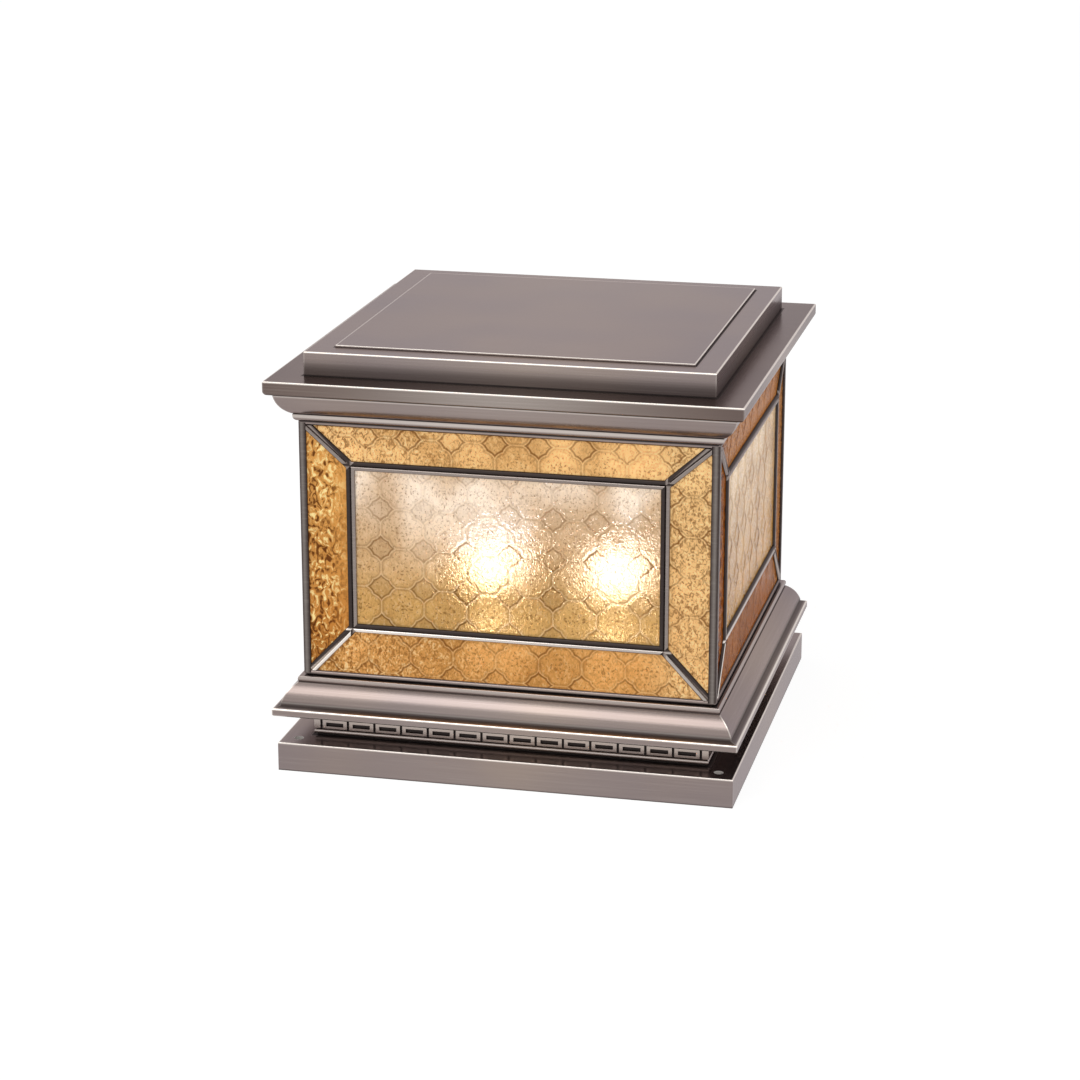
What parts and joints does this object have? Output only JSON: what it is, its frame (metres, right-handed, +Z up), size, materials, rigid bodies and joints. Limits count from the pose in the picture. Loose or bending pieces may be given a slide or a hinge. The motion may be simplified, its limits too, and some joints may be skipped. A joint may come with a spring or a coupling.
{
  "type": "deck post cap light",
  "caption": "Square pillar-top lantern with a moulded lift-off cap, leaded champagne and amber glass sides, a fretted neck, and screw-in bulbs on a fixing tray.",
  "frame": {"origin": "centre of the fixing tray's underside, on the post's top", "axes": "+Z up out of the post, front face towards -Y, +X to the right seen from the front"},
  "size_m": [0.3064, 0.3064, 0.2783],
  "materials": {
    "bronze_plate": "satin brushed bronze-taupe plating, clear lacquer",
    "lid_bronze": "satin brushed bronze-taupe plating, clear lacquer",
    "came_metal": "dark patinated bronze strip with bright rubbed beads",
    "champagne_glass": "pale champagne patterned glass",
    "amber_glass": "amber patterned and hammered glass",
    "galvanised_steel": "zinc plated sheet",
    "holder_plastic": "ivory lampholder moulding",
    "contact_brass": "nickelled brass contacts",
    "cap_metal": "pressed lamp cap",
    "bulb_glass": "opal bulb glass, lit",
    "seal_rubber": "black rubber",
    "terminal_plastic": "white terminal moulding",
    "lead_sheath": "black heat resistant sheath",
    "screw_steel": "plated steel screws"
  },
  "bodies": {
    "lantern": {"base_tray": "bronze_plate", "neck_ring": "bronze_plate", "fret_frieze": "bronze_plate", "bottom_rail": "bronze_plate", "top_rail": "bronze_plate", "plinth_front": "bronze_plate", "plinth_right": "bronze_plate", "plinth_back": "bronze_plate", "plinth_left": "bronze_plate", "post_front_right": "bronze_plate", "post_back_right": "bronze_plate", "post_back_left": "bronze_plate", "post_front_left": "bronze_plate", "came_front": "came_metal", "came_right": "came_metal", "came_back": "came_metal", "came_left": "came_metal", "pane_front_centre": "champagne_glass", "pane_front_top": "amber_glass", "pane_front_bottom": "amber_glass", "pane_front_left": "amber_glass", "pane_front_right": "amber_glass", "pane_right_centre": "champagne_glass", "pane_right_top": "amber_glass", "pane_right_bottom": "amber_glass", "pane_right_left": "amber_glass", "pane_right_right": "amber_glass", "pane_back_centre": "champagne_glass", "pane_back_top": "amber_glass", "pane_back_bottom": "amber_glass", "pane_back_left": "amber_glass", "pane_back_right": "amber_glass", "pane_left_centre": "champagne_glass", "pane_left_top": "amber_glass", "pane_left_bottom": "amber_glass", "pane_left_left": "amber_glass", "pane_left_right": "amber_glass", "lamp_bridge": "galvanised_steel", "lampholder_left": "holder_plastic", "lampholder_right": "holder_plastic", "holder_contacts": "contact_brass", "cable_grommet": "seal_rubber", "terminal_block": "terminal_plastic", "lamp_leads": "lead_sheath", "base_screws": "screw_steel"},
    "cap": {"cap_cornice": "bronze_plate", "eave_slab": "bronze_plate", "lid_block": "lid_bronze", "lid_panel": "lid_bronze", "cap_gasket": "seal_rubber"},
    "bulb_left_lift": {"bulb_contact_left": "contact_brass"},
    "bulb_left": {"bulb_base_left": "cap_metal", "bulb_glass_left": "bulb_glass"},
    "lock_left": {"lock_screw_left": "screw_steel", "lock_washer_left": "screw_steel"},
    "bulb_right_lift": {"bulb_contact_right": "contact_brass"},
    "bulb_right": {"bulb_base_right": "cap_metal", "bulb_glass_right": "bulb_glass"},
    "lock_right": {"lock_screw_right": "screw_steel", "lock_washer_right": "screw_steel"}
  },
  "joints": [
    {"name": "cap_lift", "type": "slide", "parent": "lantern", "child": "cap", "axis": [0, 0, 1], "range_m": [0, 0.12]},
    {"name": "bulb_left_rise", "type": "slide", "parent": "lantern", "child": "bulb_left_lift", "axis": [0, 0, 1], "range_m": [0, 0.01835]},
    {"name": "bulb_left_turn", "type": "hinge", "parent": "bulb_left_lift", "child": "bulb_left", "pos_m": [-0.0435, 0, 0.0435], "axis": [0, 0, 1], "range_deg": [0, 1800]},
    {"name": "lock_left_turn", "type": "hinge", "parent": "cap", "child": "lock_left", "pos_m": [-0.07, 0.139, 0.2351], "axis": [0, 1, 0], "range_deg": [0, 1440]},
    {"name": "bulb_right_rise", "type": "slide", "parent": "lantern", "child": "bulb_right_lift", "axis": [0, 0, 1], "range_m": [0, 0.01835]},
    {"name": "bulb_right_turn", "type": "hinge", "parent": "bulb_right_lift", "child": "bulb_right", "pos_m": [0.0435, 0, 0.0435], "axis": [0, 0, 1], "range_deg": [0, 1800]},
    {"name": "lock_right_turn", "type": "hinge", "parent": "cap", "child": "lock_right", "pos_m": [0.07, 0.139, 0.2351], "axis": [0, 1, 0], "range_deg": [0, 1440]}
  ],
  "couplings": [
    {"joint": "bulb_left_rise", "follows": "bulb_left_turn", "m_per_rad": 0.00057757},
    {"joint": "bulb_right_rise", "follows": "bulb_right_turn", "m_per_rad": 0.00057757}
  ]
}
